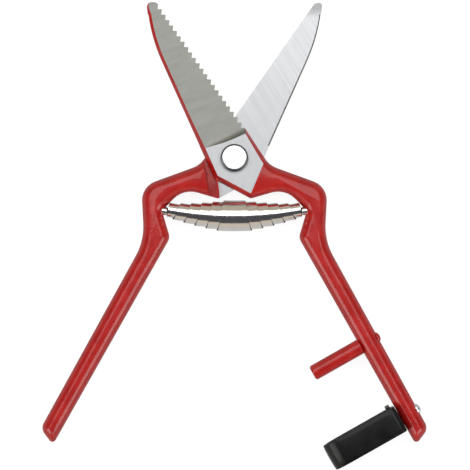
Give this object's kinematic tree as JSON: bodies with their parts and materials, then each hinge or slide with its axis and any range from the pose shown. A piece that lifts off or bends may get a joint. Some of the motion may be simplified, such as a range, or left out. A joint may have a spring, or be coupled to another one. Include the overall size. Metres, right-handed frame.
{
  "type": "pruning shears",
  "caption": "Hand pruning shears: two lapped levers on one pivot, one blade toothed and one plain, with a double volute spring, a stop pin and a closing strap.",
  "frame": {"origin": "on the pivot axis, in the plane of the pivot nut's outer face, which rests on the table", "axes": "+Z along the pivot axis, out of the bolt's head; +Y between the open blades, towards their tips; +X towards the toothed lever's grip"},
  "size_m": [0.192, 0.2342, 0.0191],
  "materials": {
    "red_enamel": "gloss enamel",
    "ground_steel": "ground and brushed",
    "bright_zinc": "bright plated",
    "spring_steel": "bright rolled strip",
    "black_strap": "glossy black"
  },
  "bodies": {
    "toothed_half": {"serrated_lever": "red_enamel", "pivot_bolt": "bright_zinc", "pivot_washer": "bright_zinc", "pivot_nut": "bright_zinc", "right_spring_peg": "bright_zinc", "stop_pin": "red_enamel", "stop_pin_screw": "red_enamel", "strap_screw": "bright_zinc", "strap_washer": "bright_zinc", "strap_nut": "bright_zinc"},
    "plain_half": {"plain_lever": "red_enamel", "left_spring_peg": "bright_zinc"},
    "spring": {"volute_spring": "spring_steel"},
    "strap": {"closing_strap": "black_strap"}
  },
  "joints": [
    {"name": "blade_pivot", "type": "hinge", "parent": "toothed_half", "child": "plain_half", "pos_m": [0, 0, 0], "axis": [0, 0, 1], "range_deg": [0, 53], "stiffness_Nm_per_rad": 2, "springref_deg": -11.46, "deforming": ["volute_spring", "closing_strap"]},
    {"name": "spring_float", "type": "hinge", "parent": "toothed_half", "child": "spring", "pos_m": [0.0269, 0.0064, 0], "axis": [0, 0, 1], "range_deg": [0, 26.5]},
    {"name": "strap_swivel", "type": "hinge", "parent": "toothed_half", "child": "strap", "pos_m": [0.08317, -0.13008, 0.01006], "axis": [-0.8704, -0.4924, 0], "range_deg": [-90, 90]}
  ],
  "couplings": [
    {"joint": "spring_float", "follows": "blade_pivot", "ratio": 0.5}
  ]
}
